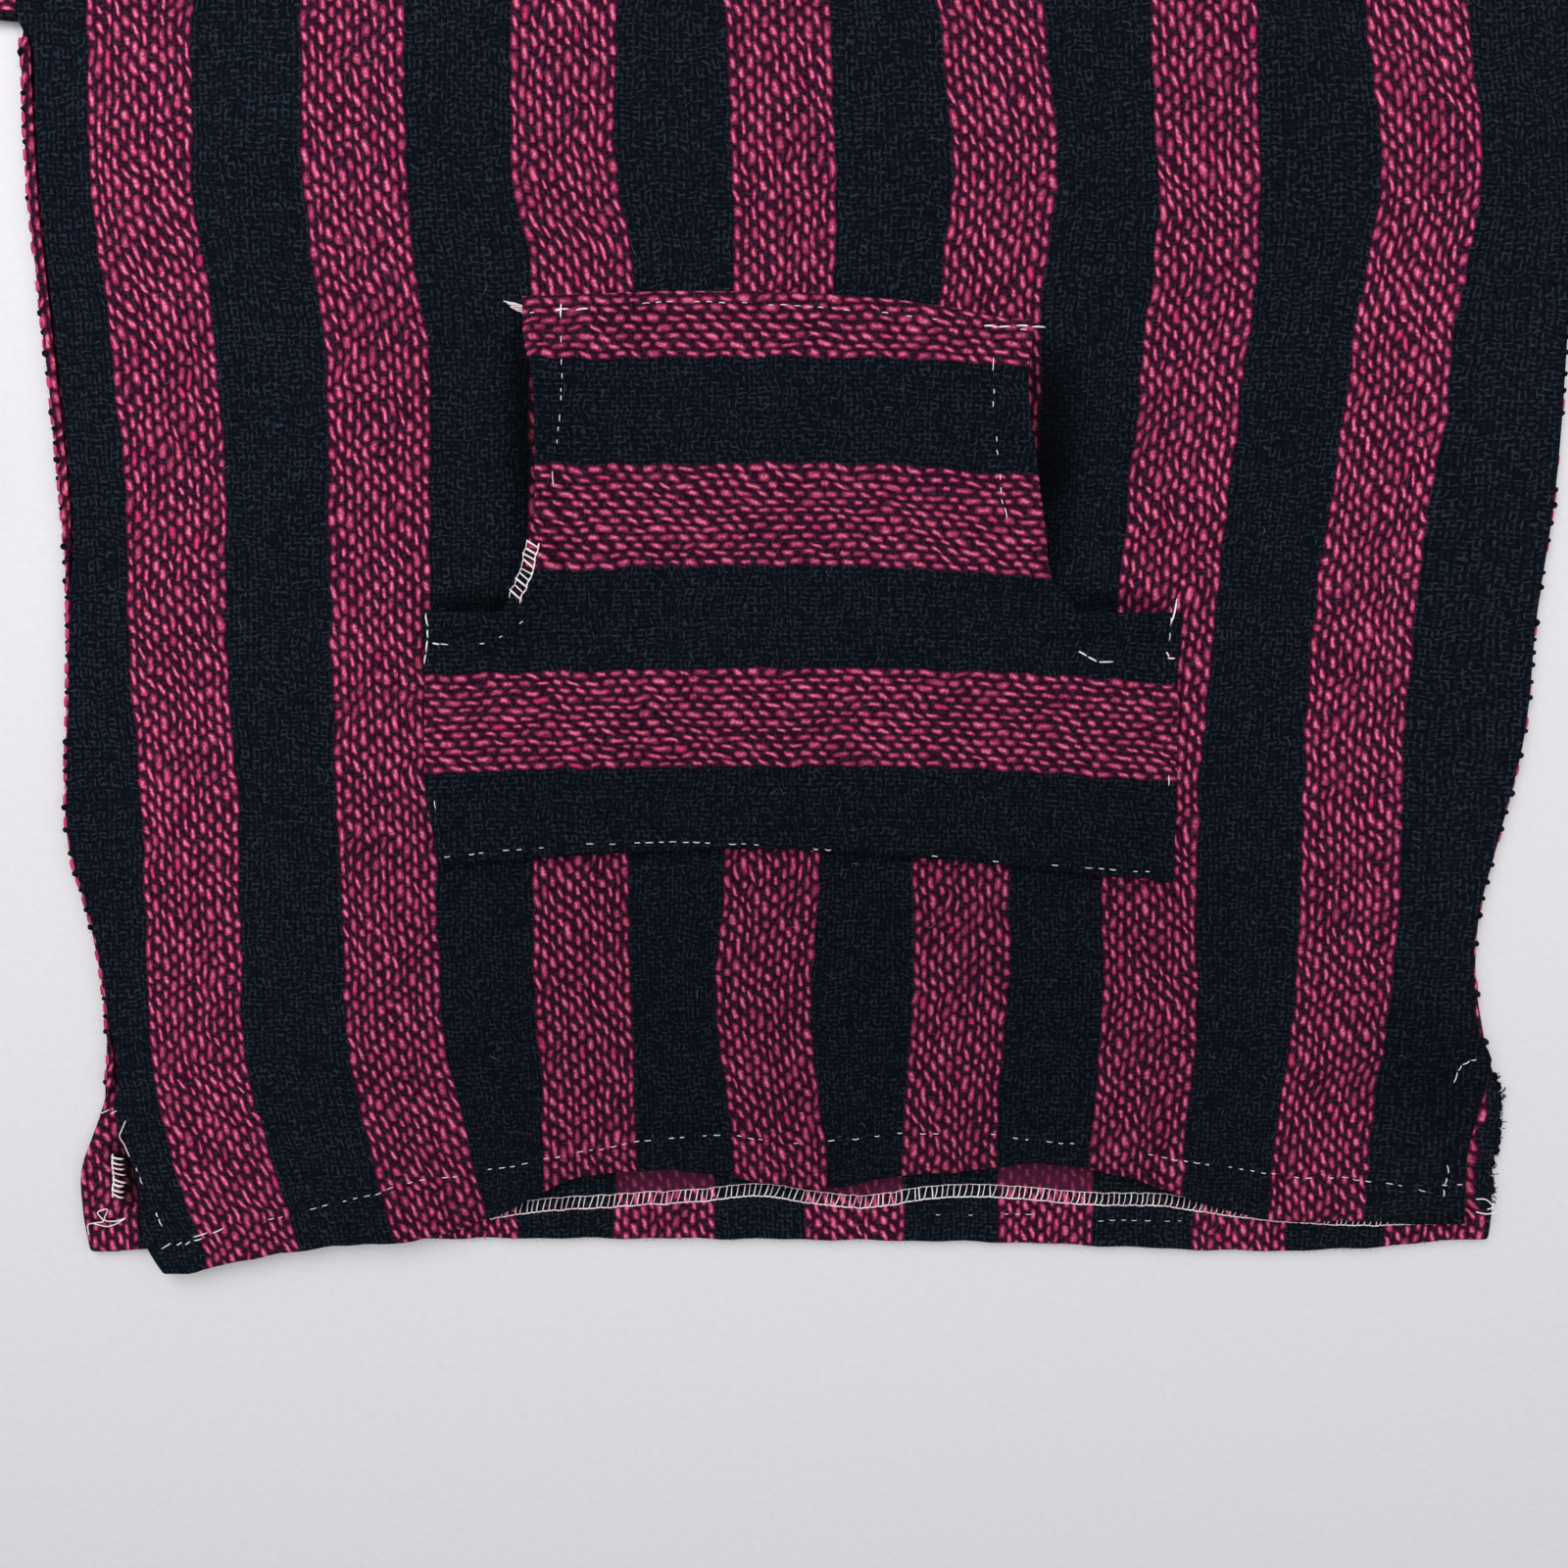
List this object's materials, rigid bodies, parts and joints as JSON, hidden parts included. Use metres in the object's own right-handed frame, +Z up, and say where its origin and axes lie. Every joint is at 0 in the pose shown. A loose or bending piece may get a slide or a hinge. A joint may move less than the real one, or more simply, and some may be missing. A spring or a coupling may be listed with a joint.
{
  "type": "baja hoodie",
  "caption": "Hooded pullover of heavy striped cotton, laid flat face up, with a slit neck, drop sleeves, side vents and a kangaroo pocket.",
  "frame": {"origin": "on the surface, under the middle of the whole laid-out garment", "axes": "+X towards the wearer's left, +Y from the hem to the hood, +Z up from the surface through the front"},
  "size_m": [1.0772, 1.0966, 0.0126],
  "materials": {
    "striped_cotton": "coarse plain weave, dry and napped, magenta and blue-black stripes",
    "pocket_cotton": "the same coarse weave turned so that its stripes run across",
    "thread": "white spun sewing thread, slightly fuzzy"
  },
  "bodies": {
    "root": {"back_panel": "striped_cotton", "front_panel": "striped_cotton", "kangaroo_pocket": "pocket_cotton", "sleeve_left": "striped_cotton", "sleeve_right": "striped_cotton", "hood_left": "striped_cotton", "hood_right": "striped_cotton"}
  },
  "joints": []
}
